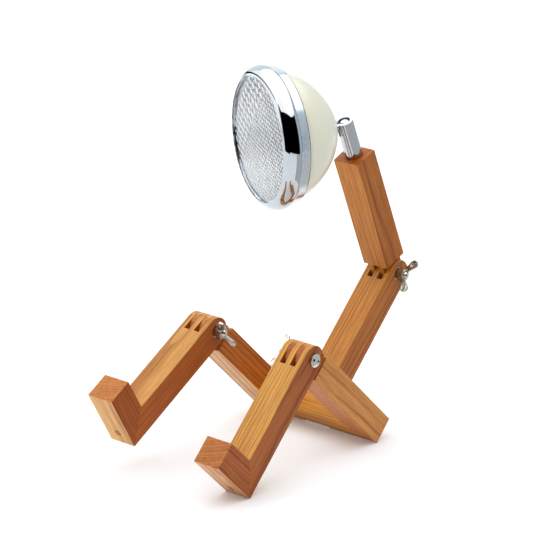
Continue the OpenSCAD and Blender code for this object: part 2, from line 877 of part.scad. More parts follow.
module reflector() {
    color("#d9dde0") in_head() difference() {
        turned(concat([[emitter_hole_r, reflector_flat]], reflector_side(0),
            [[lens_flange_r, reflector_front], [lens_flange_r, reflector_front - reflector_wall]],
            reversed(reflector_side(reflector_wall)), [[emitter_hole_r, led_face]]));
        led_screw_places() translate([0, 0, -led_screw_len])
            cylinder(r = led_screw_d / 2 + bore_play, h = 2 * led_screw_len);
    }
}

// Screws through the reflector's base and the LED board into the heat sink
module led_screw_places() {
    for (i = [0 : led_screws - 1])
        rotate([0, 0, (i + 0.25) * 360 / led_screws])
            translate([led_screw_at, 0, reflector_flat]) children();
}

module led_screws() {
    color(steel) in_head() led_screw_places() {
        translate([0, 0, -led_screw_len]) cylinder(d = led_screw_d, h = led_screw_len);
        cylinder(d = 2 * led_screw_d, h = led_screw_d / 2);
    }
}

module led_board() {
    color("#f2f2ee") in_head() difference() {
        translate([0, 0, sink_face]) cylinder(r = led_board_r, h = led_board_t);
        led_screw_places() translate([0, 0, -led_screw_len])
            cylinder(r = led_screw_d / 2 + bore_play, h = 2 * led_screw_len);
    }
}

module led_emitter() {
    color("#f4a93a") in_head() translate([0, 0, led_face]) {
        cylinder(r = emitter_r, h = reflector_wall);
        translate([0, 0, reflector_wall]) difference() {
            sphere(r = emitter_r * 0.8);
            translate([0, 0, -emitter_r]) cylinder(r = emitter_r, h = emitter_r);
        }
    }
}

// Spacers and leads pass between the fins
module spacer_places() {
    for (i = [0, 3, 6])
        rotate([0, 0, (i + 0.5) * 360 / sink_fins]) translate([spacer_at, 0, 0]) children();
}

module lead_places() {
    for (i = [1, 4])
        rotate([0, 0, (i + 0.5) * 360 / sink_fins]) translate([lead_at, 0, 0]) children();
}

module heat_sink() {
    color("#9aa0a4") in_head() difference() {
        union() {
            translate([0, 0, sink_base]) cylinder(r = sink_r, h = sink_base_t);
            translate([0, 0, sink_base - sink_fin_len])
                cylinder(r = sink_core_r, h = sink_fin_len + sink_base_t / 2);
            for (i = [0 : sink_fins - 1])
                rotate([0, 0, i * 360 / sink_fins])
                    translate([0, -sink_fin_t / 2, sink_base - sink_fin_len])
                        cube([sink_r * 0.97, sink_fin_t, sink_fin_len + sink_base_t / 2]);
        }
        led_screw_places() translate([0, 0, -led_screw_len - bore_play])
            cylinder(r = led_screw_d / 2 + bore_play, h = 2 * led_screw_len);
        lead_places() translate([0, 0, sink_base - overrun])
            cylinder(r = lead_r + bore_play, h = sink_base_t + 2 * overrun);
    }
}

module led_leads() {
    color("#c23b2e") in_head() lead_places() translate([0, 0, dimmer_front])
        cylinder(r = lead_r, h = sink_face - dimmer_front);
}

module board_spacers() {
    color("#e4e4dc") in_head() spacer_places() translate([0, 0, dimmer_front])
        cylinder(r = spacer_r, h = spacer_len);
}

module dimmer_board() {
    color("#2f6b45") in_head() {
        difference() {
            translate([0, 0, dimmer_back]) cylinder(r = dimmer_r, h = dimmer_t);
            translate([0, 0, dimmer_back - overrun])
                cylinder(r = stem_nut_r * 1.2, h = dimmer_t + 2 * overrun);
        }
        rotate([0, 0, gland_turn + 60]) translate([component_at, 0, dimmer_back - coil_h])
            cylinder(r = coil_r, h = coil_h + dimmer_t / 2);
        rotate([0, 0, gland_turn + 180])
            translate([component_at - chip_w / 2, -chip_w / 2, dimmer_back - chip_h])
                cube([chip_w, chip_w, chip_h + dimmer_t / 2]);
    }
}

module cord_gland() {
    color("#26262a") at_gland() difference() {
        union() {
            translate([0, 0, -gland_inside]) cylinder(r = gland_body_r, h = gland_inside + gland_flange_t);
            cylinder(r = gland_flange_r, h = gland_flange_t);
            translate([0, 0, gland_flange_t])
                cylinder(r1 = gland_flange_r * 0.92, r2 = gland_body_r, h = gland_boss);
        }
        translate([0, 0, -gland_inside - overrun])
            cylinder(d = cord_d, h = gland_inside + gland_flange_t + gland_boss + 2 * overrun);
    }
}

module gland_nut() {
    color("#26262a") at_gland() translate([0, 0, -shell_wall - gland_nut_gap - gland_nut_t])
        difference() {
            cylinder(r = gland_flange_r, h = gland_nut_t, $fn = hex_sides);
            translate([0, 0, -overrun])
                cylinder(r = gland_body_r + bore_play, h = gland_nut_t + 2 * overrun);
        }
}

hip_crossbar();
left_thigh();
right_thigh();
hip_pin();
hip_corner_splines();
left_shin();
left_foot();
left_heel_screw();
left_heel_plug();
left_knee_bolt();
left_knee_washer();
left_wing_nut();
right_shin();
right_foot();
right_heel_screw();
right_heel_plug();
right_knee_bolt();
right_knee_washer();
right_wing_nut();
torso();
waist_bolt();
waist_washer();
waist_wing_nut();
chest();
neck_set_screw();
neck_tube();
ball_cup();
disc_springs();
neck_plug();
ball_stem();
stem_washer();
stem_nut();
head_shell();
shell_seal();
trim_band();
bezel();
lens_ring();
lens();
lens_gasket();
retaining_ring();
reflector();
led_emitter();
led_board();
led_screws();
heat_sink();
led_leads();
board_spacers();
dimmer_board();
cord_gland();
gland_nut();
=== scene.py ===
import json
from math import asin, cos, degrees, pi, radians, sin, sqrt

import bpy
from mathutils import Matrix, Vector


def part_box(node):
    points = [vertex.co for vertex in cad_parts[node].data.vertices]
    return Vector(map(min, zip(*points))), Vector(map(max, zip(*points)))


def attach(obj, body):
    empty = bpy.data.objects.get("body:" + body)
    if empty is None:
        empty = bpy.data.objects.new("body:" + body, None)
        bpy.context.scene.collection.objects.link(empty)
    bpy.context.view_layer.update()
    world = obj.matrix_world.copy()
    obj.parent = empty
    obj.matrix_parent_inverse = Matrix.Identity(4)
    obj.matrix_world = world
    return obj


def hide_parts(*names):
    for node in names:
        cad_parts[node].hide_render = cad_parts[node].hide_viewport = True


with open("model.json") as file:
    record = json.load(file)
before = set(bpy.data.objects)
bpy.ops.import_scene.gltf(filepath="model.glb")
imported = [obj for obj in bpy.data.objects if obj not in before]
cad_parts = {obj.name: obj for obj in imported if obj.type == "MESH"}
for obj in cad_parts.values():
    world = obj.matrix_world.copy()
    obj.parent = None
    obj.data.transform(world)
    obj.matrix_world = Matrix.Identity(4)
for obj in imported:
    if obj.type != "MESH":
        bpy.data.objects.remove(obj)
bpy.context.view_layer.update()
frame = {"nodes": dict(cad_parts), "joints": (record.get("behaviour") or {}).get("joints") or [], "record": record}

bpy.ops.object.select_all(action="DESELECT")

# Wooden bars
# All nine bars are planed ash, 21 mm wide and 19 mm thick, oiled to a satin gold-brown. Their knuckles
# are cut with a box-joint saw and their edges are sanded to a fine round. Each bar is cut from its own
# stretch of board, so its growth rings lie another way.
mm = 0.001
joint = {j["name"]: j for j in frame["joints"]}
hip_at, waist_at = Vector(joint["hip"]["pos_m"]), Vector(joint["waist"]["pos_m"])
left_knee_at, right_knee_at = Vector(joint["left_knee"]["pos_m"]), Vector(joint["right_knee"]["pos_m"])
sole_way = {m["name"]: Vector(m["axis"]) for m in frame["record"]["mounts"] if m["kind"] == "flat_face"}
sideways, upwards = Vector((1, 0, 0)), Vector((0, 0, 1))
thigh_way = Vector((0, left_knee_at.y - hip_at.y, left_knee_at.z - hip_at.z)).normalized()
torso_way = (waist_at - hip_at).normalized()
chest_way = Vector(joint["neck_turn"]["axis"]).normalized()
left_shin_way, right_shin_way = -sole_way["left_sole"], -sole_way["right_sole"]
left_toe_way, right_toe_way = sideways.cross(left_shin_way), sideways.cross(right_shin_way)


def add(tree, kind, inputs=(), **settings):
    """Adds a node, sets it up, and joins or fills its sockets, which are given by number or name."""
    node = tree.nodes.new("ShaderNode" + kind)
    for key, value in settings.items():
        setattr(node, key, value)
    for key, value in dict(inputs).items():
        if isinstance(value, bpy.types.NodeSocket):
            tree.links.new(value, node.inputs[key])
        else:
            node.inputs[key].default_value = value
    return node


def calc(tree, operation, a, b=0.0, c=0.0):
    """One sum in a material, such as MULTIPLY."""
    return add(tree, "Math", {0: a, 1: b, 2: c}, operation=operation).outputs[0]


def spread(tree, value, low, high, to_low=0.0, to_high=1.0):
    """Turns a range of values into another one, smoothly, and stops at its ends."""
    inputs = {"Value": value, "From Min": low, "From Max": high, "To Min": to_low, "To Max": to_high}
    return add(tree, "MapRange", inputs, interpolation_type="SMOOTHSTEP").outputs["Result"]


def blend_colours(tree, share, a, b):
    """Mixes two colours by a share."""
    return add(tree, "Mix", {0: share, 6: a, 7: b}, data_type="RGBA").outputs[2]


def noise(tree, place, scale, detail=2.0, roughness=0.5):
    """Soft noise around 0.5."""
    inputs = {"Vector": place, "Scale": scale, "Detail": detail, "Roughness": roughness}
    return add(tree, "TexNoise", inputs).outputs["Fac"]


def scaled(tree, value, share):
    """A place or a colour with each of its parts scaled by its own share."""
    return add(tree, "VectorMath", {0: value, 1: share}, operation="MULTIPLY").outputs[0]


def in_own_axes(tree, place, centre, axes):
    """A place as it is seen from a centre, along three axes."""
    turn = Matrix(axes).transposed().to_euler()
    inputs = {"Vector": place, "Location": centre, "Rotation": turn}
    return add(tree, "Mapping", inputs, vector_type="TEXTURE").outputs[0]


def facing(tree, way, low, high):
    """A share that rises between two cosines as the surface turns to face a way, or away from it."""
    normal = add(tree, "TexCoord").outputs["Normal"]
    cosine = add(tree, "VectorMath", {0: normal, 1: way}, operation="DOT_PRODUCT").outputs["Value"]
    return spread(tree, calc(tree, "ABSOLUTE", cosine), low, high)


def hex_colour(code):
    """A linear colour from the six-digit code of the colour as the eye sees it."""
    parts = [int(code[i:i + 2], 16) / 255 for i in (0, 2, 4)]
    return tuple(p / 12.92 if p <= 0.04045 else ((p + 0.055) / 1.055) ** 2.4 for p in parts) + (1.0,)


def new_finish(name):
    """An empty material: its tree, its Principled shader and where it is on the object."""
    finish = bpy.data.materials.new(name)
    finish.use_nodes = True
    tree = finish.node_tree
    place = add(tree, "TexCoord").outputs["Object"]
    return finish, tree, tree.nodes["Principled BSDF"], place


# Waves to the metre of each mark in the wood: along the grain, across it and through it.
ring_waves, pore_waves, fibre_waves = (11, 45, 45), (110, 2600, 2600), (45, 1500, 1500)
streak_waves, cloud_waves = (9, 420, 420), (16, 60, 60)
ring_wander, pore_depth = 2.6 * mm, 0.05 * mm
# A season's growth: its waves to the metre outwards and along the grain, and its reach in years.
season_outwards, season_along, season_reach = 260.0, 4.0, 2.4
# What the bare tone is scaled by on end grain, in pale wood, and in streaks, rings and pores.
end_tint, pale_tint, deep_tint = (0.68, 0.43, 0.12), (1.13, 1.18, 1.3), (0.6, 0.44, 0.32)


def grain(tree, in_bar, waves, detail=1.0, roughness=0.5):
    """Noise that is stretched along the grain."""
    return noise(tree, scaled(tree, in_bar, waves), 1.0, detail, roughness)


def growth(tree, in_bar, heart, ring):
    """Shares of early wood, which comes and fades in the first half of each year, and of late wood, which
    darkens over the second half."""
    wander = grain(tree, in_bar, ring_waves, 2.0)
    parts = add(tree, "SeparateXYZ", {0: in_bar}).outputs
    side = calc(tree, "ADD", parts[1], heart[0] * mm)
    rise = calc(tree, "ADD", parts[2], heart[1] * mm)
    squares = calc(tree, "MULTIPLY", side, side), calc(tree, "MULTIPLY", rise, rise)
    radius = calc(tree, "MULTIPLY_ADD", wander, ring_wander, calc(tree, "SQRT", calc(tree, "ADD", *squares)))
    outwards = calc(tree, "MULTIPLY", radius, season_outwards)
    lengthways = calc(tree, "MULTIPLY", parts[0], season_along)
    season = noise(tree, add(tree, "CombineXYZ", {0: outwards, 1: lengthways}).outputs[0], 1.0, 1.0)
    year = calc(tree, "MULTIPLY_ADD", season, season_reach, calc(tree, "DIVIDE", radius, ring * mm))
    year = calc(tree, "FRACT", year)
    early = calc(tree, "MULTIPLY", spread(tree, year, 0.0, 0.08), spread(tree, year, 0.12, 0.5, 1.0, 0.0))
    return early, spread(tree, year, 0.55, 1.0)


def wood_finish(name, along, centre, heart, ring, face, flank_with_painted_shade):
    """Oiled wood. along is the way of the grain, heart is how far across the bar the tree's middle lies
    and ring is a year's growth, in mm. face is the tone of its faces, and the last argument is the tone of
    its two sides, partly the wood's own tone and partly painted shade."""
    finish, tree, shader, place = new_finish(name)
    across = (upwards if along == sideways else sideways).cross(along)
    in_bar = in_own_axes(tree, place, centre, (along, across, along.cross(across)))
    early, late = growth(tree, in_bar, heart, ring)
    pores = spread(tree, grain(tree, in_bar, pore_waves), 0.5, 0.66)
    fibres = grain(tree, in_bar, fibre_waves, 3.0, 0.65)
    streak = grain(tree, in_bar, streak_waves, 3.0, 0.6)
    cloud = grain(tree, in_bar, cloud_waves)
    # The sides take the darker side tone: partly the wood's own tone, partly painted shade.
    tone = blend_colours(tree, facing(tree, sideways, 0.45, 0.85), face, flank_with_painted_shade)
    tone = blend_colours(tree, facing(tree, along, 0.75, 0.97), tone, scaled(tree, tone, end_tint))
    pale, deep = scaled(tree, tone, pale_tint), scaled(tree, tone, deep_tint)
    colour = blend_colours(tree, spread(tree, cloud, 0.35, 0.65, 0.1, 0.9), pale, tone)
    colour = blend_colours(tree, spread(tree, streak, 0.42, 0.75, 0.0, 0.4), colour, deep)
    colour = blend_colours(tree, calc(tree, "MULTIPLY", late, 0.16), colour, deep)
    ring_line = calc(tree, "MULTIPLY", early, spread(tree, streak, 0.3, 0.6, 0.35, 0.85))
    pore_line = calc(tree, "MULTIPLY", pores, spread(tree, early, 0.0, 0.5, 0.28, 0.7))
    line = calc(tree, "MAXIMUM", ring_line, pore_line)
    colour = blend_colours(tree, line, colour, deep)
    shade = spread(tree, fibres, 0.3, 0.72, 1.17, 0.8)
    colour = add(tree, "VectorMath", {0: colour, "Scale": shade}, operation="SCALE").outputs[0]
    tree.links.new(colour, shader.inputs["Base Color"])
    tree.links.new(spread(tree, line, 0.0, 1.0, 0.4, 0.58), shader.inputs["Roughness"])
    hollow = calc(tree, "MULTIPLY", calc(tree, "ADD", pores, early), -0.5)
    bump = add(tree, "Bump", {"Height": hollow, "Distance": pore_depth, "Strength": 0.5})
    tree.links.new(bump.outputs[0], shader.inputs["Normal"])
    shader.inputs["Specular IOR Level"].default_value = 0.24
    return finish


def finish_piece(piece, finish, body, node):
    """Gives a new piece its finish, hangs it on the body it rides on, and hides the node it stands for."""
    piece.data.materials.clear()
    piece.data.materials.append(finish)
    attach(piece, body)
    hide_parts(node)


def drop_selection():
    """Leaves nothing selected and nothing active."""
    bpy.ops.object.select_all(action="DESELECT")
    bpy.context.view_layer.objects.active = None


def select_only(piece):
    """Leaves one piece selected and active."""
    drop_selection()
    piece.select_set(True)
    bpy.context.view_layer.objects.active = piece


def apply_modifiers(piece):
    """Applies all of a piece's modifiers."""
    select_only(piece)
    for modifier in list(piece.modifiers):
        bpy.ops.object.modifier_apply(modifier=modifier.name)
    drop_selection()


def copied_piece(name, node, weld=0.002 * mm, flat_within=0.6):
    """A copy of a node's mesh, with its loose triangles joined and its flat faces made whole."""
    piece = frame["nodes"][node].copy()
    piece.data = piece.data.copy()
    piece.name = name
    piece.parent = None
    for mark in list(piece.keys()):
        if mark.startswith("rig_"):
            del piece[mark]
    bpy.context.scene.collection.objects.link(piece)
    piece.hide_render = piece.hide_viewport = False
    select_only(piece)
    bpy.ops.object.mode_set(mode="EDIT")
    bpy.ops.mesh.select_all(action="SELECT")
    bpy.ops.mesh.remove_doubles(threshold=weld)
    bpy.ops.mesh.customdata_custom_splitnormals_clear()
    bpy.ops.mesh.dissolve_limited(angle_limit=radians(flat_within))
    bpy.ops.object.mode_set(mode="OBJECT")
    bpy.ops.object.shade_smooth()
    return piece


def eased_piece(name, node, body, finish, easing, segments=2, sharp_from=40):
    """A copy of a node with its sharp edges eased round, by so many mm, which stands for the node."""
    piece = copied_piece(name, node)
    edge = piece.modifiers.new("eased edges", "BEVEL")
    edge.width = easing * mm
    edge.segments = segments
    edge.limit_method = "ANGLE"
    edge.angle_limit = radians(sharp_from)
    edge.use_clamp_overlap = False
    edge.harden_normals = True
    apply_modifiers(piece)
    finish_piece(piece, finish, body, node)
    return piece


bar_easing = 0.35
# Node, body, way of the grain, a point in the bar, heart, ring, the tone of its faces and that of its sides, with
# painted shade.
bars = [
    ("hip_crossbar", "hips", sideways, hip_at, (38, 22), 2.6, "CB8728", "B67628"),
    ("left_thigh", "hips", thigh_way, left_knee_at, (18, 46), 2.4, "C98043", "C3813A"),
    ("right_thigh", "hips", thigh_way, right_knee_at, (44, 20), 2.8, "DBA974", "B96514"),
    ("left_shin", "left_leg", left_shin_way, left_knee_at, (12, 58), 2.6, "CB8F38", "A15515"),
    ("left_foot", "left_leg", left_toe_way, left_knee_at, (30, 41), 2.4, "D49A67", "A25415"),
    ("right_shin", "right_leg", right_shin_way, right_knee_at, (60, 8), 1.7, "C68B3D", "AB570F"),
    ("right_foot", "right_leg", right_toe_way, right_knee_at, (35, 35), 2.8, "DDA561", "A04F0F"),
    ("torso", "trunk", torso_way, waist_at, (25, 50), 2.2, "C78028", "AC641E"),
    ("chest", "breast", chest_way, waist_at, (16, 62), 2.6, "C98032", "A75E13"),
]
for node, body, along, centre, heart, ring, face, flank_with_painted_shade in bars:
    tones = hex_colour(face), hex_colour(flank_with_painted_shade)
    oiled = wood_finish("oiled_" + node, along, centre, heart, ring, *tones)
    eased_piece(node + "_bar", node, body, oiled, bar_easing)

# Wooden plugs and splines
# A dowel plug hides the screw in each sole, and a loose spline holds each mitre of the hips. They are
# darker cross-grained wood, glued in and sanded flush.


def dress(finish, *nodes):
    """Gives nodes of the CAD model a finish."""
    for node in nodes:
        frame["nodes"][node].data.materials.clear()
        frame["nodes"][node].data.materials.append(finish)


plug_tone, plug_heart, plug_ring = hex_colour("A9713E"), (20, 20), 1.2
plug_finish = wood_finish("oiled_plug", sideways, hip_at, plug_heart, plug_ring, plug_tone, plug_tone)
dress(plug_finish, "left_heel_plug", "right_heel_plug", "hip_corner_splines")

# Bolts, washers and screws
# Nickel-plated steel. The button-head bolts go through the knuckles and are tightened with a two-pin
# driver, and the screws and the hip pin stay hidden in the wood.


def metal_finish(name, colour, rough_low, rough_high, polish_waves=400):
    """Bare or plated metal, with a faint change of polish."""
    finish, tree, shader, place = new_finish(name)
    shader.inputs["Metallic"].default_value = 1.0
    polish = noise(tree, place, polish_waves, 3.0)
    worn = tuple(c * 0.95 for c in colour[:3]) + (1.0,)
    tone = blend_colours(tree, spread(tree, polish, 0.3, 0.7), colour, worn)
    tree.links.new(tone, shader.inputs["Base Color"])
    tree.links.new(spread(tree, polish, 0.3, 0.7, rough_low, rough_high), shader.inputs["Roughness"])
    return finish


nickel = metal_finish("bright_nickel", hex_colour("CFCDC6"), 0.1, 0.16)
# The driver holes' walls and floors get a near-black finish: painted shade inside the holes.
hole_painted_shade = metal_finish("painted_hole_shade", (0.012, 0.011, 0.01, 1.0), 0.5, 0.6)
dull_steel = metal_finish("dull_steel", hex_colour("A9ABAC"), 0.28, 0.4)
steel_easing = 0.12
# The two driver holes lie in a ring about the bolt's axis. Their faces look sideways or lie deeper than
# the domed face, down to the holes' floor. A head is at the lamp's left where outward is 1, or its right.
holes_from, holes_to, dome_depth, hole_floor = 0.9 * mm, 3.5 * mm, 0.9 * mm, 2.25 * mm
bolts = [("left_knee_bolt", "left_leg", 1), ("right_knee_bolt", "right_leg", -1), ("waist_bolt", "trunk", -1)]
for node, body, outward in bolts:
    bolt = eased_piece(node + "_plated", node, body, nickel, steel_easing)
    bolt.data.materials.append(hole_painted_shade)
    low_corner, high_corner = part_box(node)
    middle = (low_corner + high_corner) / 2
    head_end = max(v.co.x * outward for v in bolt.data.vertices)
    for face in bolt.data.polygons:
        offset = face.center - middle
        from_axis = sqrt(offset.y ** 2 + offset.z ** 2)
        depth = head_end - face.center.x * outward
        on_wall = abs(face.normal.x) < 0.5 or depth > dome_depth
        # Faces inside the driver holes take the near-black finish of painted shade.
        if holes_from < from_axis < holes_to and depth < hole_floor and on_wall:
            face.material_index = 1
washers = {"left_knee_washer": "left_leg", "right_knee_washer": "right_leg", "waist_washer": "trunk"}
for node, body in washers.items():
    eased_piece(node + "_plated", node, body, nickel, steel_easing)
dress(dull_steel, "hip_pin", "left_heel_screw", "right_heel_screw", "neck_set_screw", "disc_springs",
      "neck_plug", "stem_washer", "stem_nut", "led_screws", "retaining_ring")

# Wing nuts
# Cast zinc with a bright nickel finish. A short hub carries two leaf-shaped wings that lean away from
# the wood, with a dished panel in each side, and each nut is screwed onto the end of its bolt.
wing_finish = metal_finish("polished_wing_nut", hex_colour("BDBAAE"), 0.26, 0.34)
dish_half, dish_lift = (3.3, 1.75, 0.95), 0.5
# The dish's middle lies between a point on the way to the wing's far corner and the panel's own middle.
to_far_corner, corner_share, centre_share = 0.62, 0.45, 0.55
panel_count, panel_cosine = 4, 0.98
casting_voxel, casting_smoothing = 0.16, 4


def cut_dish(cast, panel, pivot, reach):
    """Adds a cut in the form of a shallow dish to one side of a wing, and returns its cutter."""
    corners = [cast.data.vertices[v].co for v in panel.vertices]
    far = max(corners, key=lambda c: abs((c - pivot).dot(reach)))
    near = min(corners, key=lambda c: abs((c - pivot).dot(reach)))
    along = (far - near).normalized()
    middle = near.lerp(far, to_far_corner) * corner_share + panel.center * centre_share
    turn = Matrix((along, panel.normal.cross(along), panel.normal)).transposed().to_euler()
    place = middle + panel.normal * dish_lift * mm
    bpy.ops.mesh.primitive_uv_sphere_add(segments=32, ring_count=16, radius=mm, rotation=turn,
                                         location=place, scale=dish_half)
    dish = bpy.context.object
    bpy.ops.object.transform_apply(location=True, rotation=True, scale=True)
    cut = cast.modifiers.new("dish", "BOOLEAN")
    cut.object = dish
    cut.operation = "DIFFERENCE"
    cut.solver = "EXACT"
    return dish


def wing_nut(name, node, body, pivot):
    """The nut's plain form gets a dish in each side of its wings, and is rounded like a casting."""
    cast = copied_piece(name, node)
    reaches = [(v.co - pivot) * Vector((0, 1, 1)) for v in cast.data.vertices]
    reach = max(reaches, key=lambda r: r.length).normalized()
    thin_way = sideways.cross(reach)

    def panel_area(face):
        return face.area * (abs(face.normal.dot(thin_way)) > panel_cosine)

    panels = sorted(cast.data.polygons, key=panel_area)[-panel_count:]
    dishes = [cut_dish(cast, panel, pivot, reach) for panel in panels]
    form = cast.modifiers.new("casting", "REMESH")
    form.mode = "VOXEL"
    form.voxel_size = casting_voxel * mm
    soften = cast.modifiers.new("soft edges", "SMOOTH")
    soften.iterations = casting_smoothing
    apply_modifiers(cast)
    for dish in dishes:
        bpy.data.objects.remove(dish)
    for polygon in cast.data.polygons:
        polygon.use_smooth = True
    finish_piece(cast, wing_finish, body, node)


for name, node, body in (("left_knee_wings", "left_wing_nut", "left_knee_nut"),
                         ("right_knee_wings", "right_wing_nut", "right_knee_nut"),
                         ("waist_wings", "waist_wing_nut", "waist_nut")):
    wing_nut(name, node, body, Vector(joint[body + "_turn"]["pos_m"]))

# Neck
# The neck is a chromed brass tube with a slot on its head side. A ball on the lamp head's stem sits in
# its mouth, pressed up by disc springs on a nylon cup.
chrome = metal_finish("mirror_chrome", (0.5, 0.53, 0.56, 1.0), 0.03, 0.05)
tube_easing, stem_easing = 0.18, 0.1
eased_piece("chromed_neck", "neck_tube", "neck", chrome, tube_easing, 3)
eased_piece("chromed_stem", "ball_stem", "stem", chrome, stem_easing)

# Lamp head: the bowl
# Spun steel, 1.2 mm thick, with cream enamel baked on. The stem goes through the hole in its pole, and
# its straight collar carries the bright parts in front. All depths are from the ball, in mm.
ball_at = Vector(joint["head_tilt"]["pos_m"])
head_way = Vector(joint["head_roll"]["axis"]).normalized()
head_side = Vector(joint["head_tilt"]["axis"]).normalized()
head_rise = head_way.cross(head_side)
head_reach, shell_depth, shell_r, shell_wall = 8.1, 38.6, 44.0, 1.2
shell_rim, collar_front, stem_hole_r = head_reach + shell_depth, 54.4, 2.35
# The bowl's exponent, which would be 2 in an ellipse, and how far it has risen at the edge of its hole.
shell_round, hole_rise = 1.6, 0.1


def extruded_path(name, spots):
    """Extrudes one point along a row of places, and leaves the path in edit mode, all selected."""
    drop_selection()
    bpy.ops.mesh.primitive_plane_add(size=mm, location=spots[0])
    path = bpy.context.object
    path.name = name
    bpy.ops.object.mode_set(mode="EDIT")
    bpy.ops.mesh.select_mode(type="VERT")
    bpy.ops.mesh.select_all(action="SELECT")
    bpy.ops.mesh.merge(type="CENTER")
    for before, after in zip(spots, spots[1:]):
        bpy.ops.mesh.extrude_region_move(TRANSFORM_OT_translate={"value": after - before})
    bpy.ops.mesh.select_all(action="SELECT")
    return path


def head_piece(name, outline, finish, node, steps=160, weld=0.005 * mm, sharp_from=35):
    """A piece of the lamp head, spun from an outline of radius and depth in mm, which stands for a node."""
    spots = [ball_at + head_side * radius * mm + head_way * depth * mm for radius, depth in outline]
    piece = extruded_path(name, spots)
    bpy.ops.mesh.spin(steps=steps, angle=2 * pi, center=ball_at, axis=head_way)
    bpy.ops.mesh.select_all(action="SELECT")
    bpy.ops.mesh.remove_doubles(threshold=weld)
    bpy.ops.mesh.normals_make_consistent(inside=False)
    bpy.ops.object.mode_set(mode="OBJECT")
    bpy.ops.object.transform_apply(location=True, rotation=True, scale=True)
    bpy.ops.object.shade_smooth_by_angle(angle=radians(sharp_from))
    drop_selection()
    finish_piece(piece, finish, "lamp_head", node)
    return piece


def bowl(radius, depth, steps=48):
    """Outline of the bowl, a superellipse, from the stem's hole to its rim."""
    angles = [radians(90 * (1 - i / steps)) for i in range(steps + 1)]
    points = [(radius * max(cos(a), 0) ** (2 / shell_round), shell_rim - depth * sin(a) ** (2 / shell_round))
              for a in angles]
    return [p for p in points if p[0] > stem_hole_r]


enamel, tree, shader, place = new_finish("cream_enamel")
peel = noise(tree, place, 900, 2.0)
tint = spread(tree, noise(tree, place, 12, 1.0), 0.3, 0.7)
colour = blend_colours(tree, tint, hex_colour("DEDBC6"), hex_colour("D8D5BF"))
tree.links.new(colour, shader.inputs["Base Color"])
tree.links.new(spread(tree, peel, 0.3, 0.7, 0.3, 0.36), shader.inputs["Roughness"])
bump = add(tree, "Bump", {"Height": peel, "Distance": 0.004 * mm, "Strength": 0.3})
tree.links.new(bump.outputs[0], shader.inputs["Normal"])
shader.inputs["Coat Weight"].default_value = 0.3
shader.inputs["Coat Roughness"].default_value = 0.15
outside = [(stem_hole_r, head_reach + hole_rise)] + bowl(shell_r, shell_depth)
collar = [(shell_r, collar_front), (shell_r - shell_wall, collar_front)]
inside = bowl(shell_r - shell_wall, shell_depth - shell_wall)[::-1]
inside += [(stem_hole_r, head_reach + shell_wall + hole_rise)]
head_piece("enamel_bowl", outside + collar + inside + outside[:1], enamel, "head_shell")

# Lamp head: trim band and rim
# The band is folded and satin-plated brass sheet, pushed over the bowl's collar. The rounded rim is
# spun brass with a mirror chrome finish, and it clips over the collar in front of the band.


def arc(centre, radius, first, last, steps):
    """Points of an arc, its centre given as radius and depth, between two angles in degrees."""
    angles = [radians(first + (last - first) * i / steps) for i in range(steps + 1)]
    return [(centre[0] + radius * cos(a), centre[1] + radius * sin(a)) for a in angles]


band_finish = metal_finish("satin_chromed_band", (0.62, 0.66, 0.7, 1.0), 0.14, 0.2)
band_fit, band_front, band_wall, band_break = 0.05, 52.9, 0.9, 0.2
seat_r = shell_r + band_fit
band_back_r, band_widest_r, band_front_r = 46.4, 47.62, 47.5
inner_back_r, inner_front_r = 45.8, 46.7
band_outline = [
    (seat_r, shell_rim), (band_back_r, shell_rim), (band_back_r + band_break, shell_rim + band_break),
    (band_widest_r, band_front - band_break), (band_front_r, band_front), (seat_r, band_front),
    (seat_r, band_front - band_wall), (inner_front_r, band_front - band_wall),
    (inner_back_r, shell_rim + band_wall), (seat_r, shell_rim + band_wall), (seat_r, shell_rim)]
head_piece("folded_trim_band", band_outline, band_finish, "trim_band")
# The rim tucks in with a small round behind its widest place, and a large round leads to its lip.
rim_r, rim_widest, rim_front, rim_wall, glass_front, glass_r = 48.8, 55.68, 64.5, 1.1, 62.74, 41.4
tuck_r, brow_r, brow_start, lip_share = 4.06, 9.32, 2, 1.7
lip_angle = degrees(asin((rim_front - rim_widest) / brow_r))
tuck_angle = degrees(asin((rim_widest - band_front) / tuck_r))
brow_centre, rim_inside = (rim_r - brow_r, rim_widest), band_front + rim_wall
rim_outline = ([(seat_r, band_front)] + arc((rim_r - tuck_r, rim_widest), tuck_r, -tuck_angle, 0, 14)
               + arc(brow_centre, brow_r, brow_start, lip_angle, 36)
               + [(glass_r + rim_wall, glass_front), (glass_r + rim_wall * lip_share, glass_front)]
               + arc(brow_centre, brow_r - rim_wall, lip_angle, 0, 24)
               + [(band_front_r, rim_inside), (seat_r, rim_inside), (seat_r, band_front)])
head_piece("chromed_rim", rim_outline, chrome, "bezel", 192)

# Lamp head: glass
# Pressed clear glass, held by a ring. Its front is smooth and slightly domed, and its back is pressed
# into lens cells: flutes at one edge, tall cells beside them and a fine diamond net over the rest. On
# its front, the cells get painted highlights at their middles and painted shade at their edges.
glass_back, glass_step, back_r, glass_flange_r, glass_crown = 59.985, 61.885, 40.6, 43.93, 3.0
crown_r = (glass_r ** 2 + glass_crown ** 2) / (2 * glass_crown)
crown_start = 90 - degrees(asin(glass_r / crown_r))
back_steps = 96
glass_outline = ([(0, glass_back)] + [(back_r * i / back_steps, glass_back) for i in range(1, back_steps + 1)]
                 + [(glass_flange_r, glass_back), (glass_flange_r, glass_step), (glass_r, glass_step)]
                 + arc((0, glass_front + glass_crown - crown_r), crown_r, crown_start, 90, 16))
cell_lean, cell_depth, pillow_round = radians(-25), 0.4, 0.6
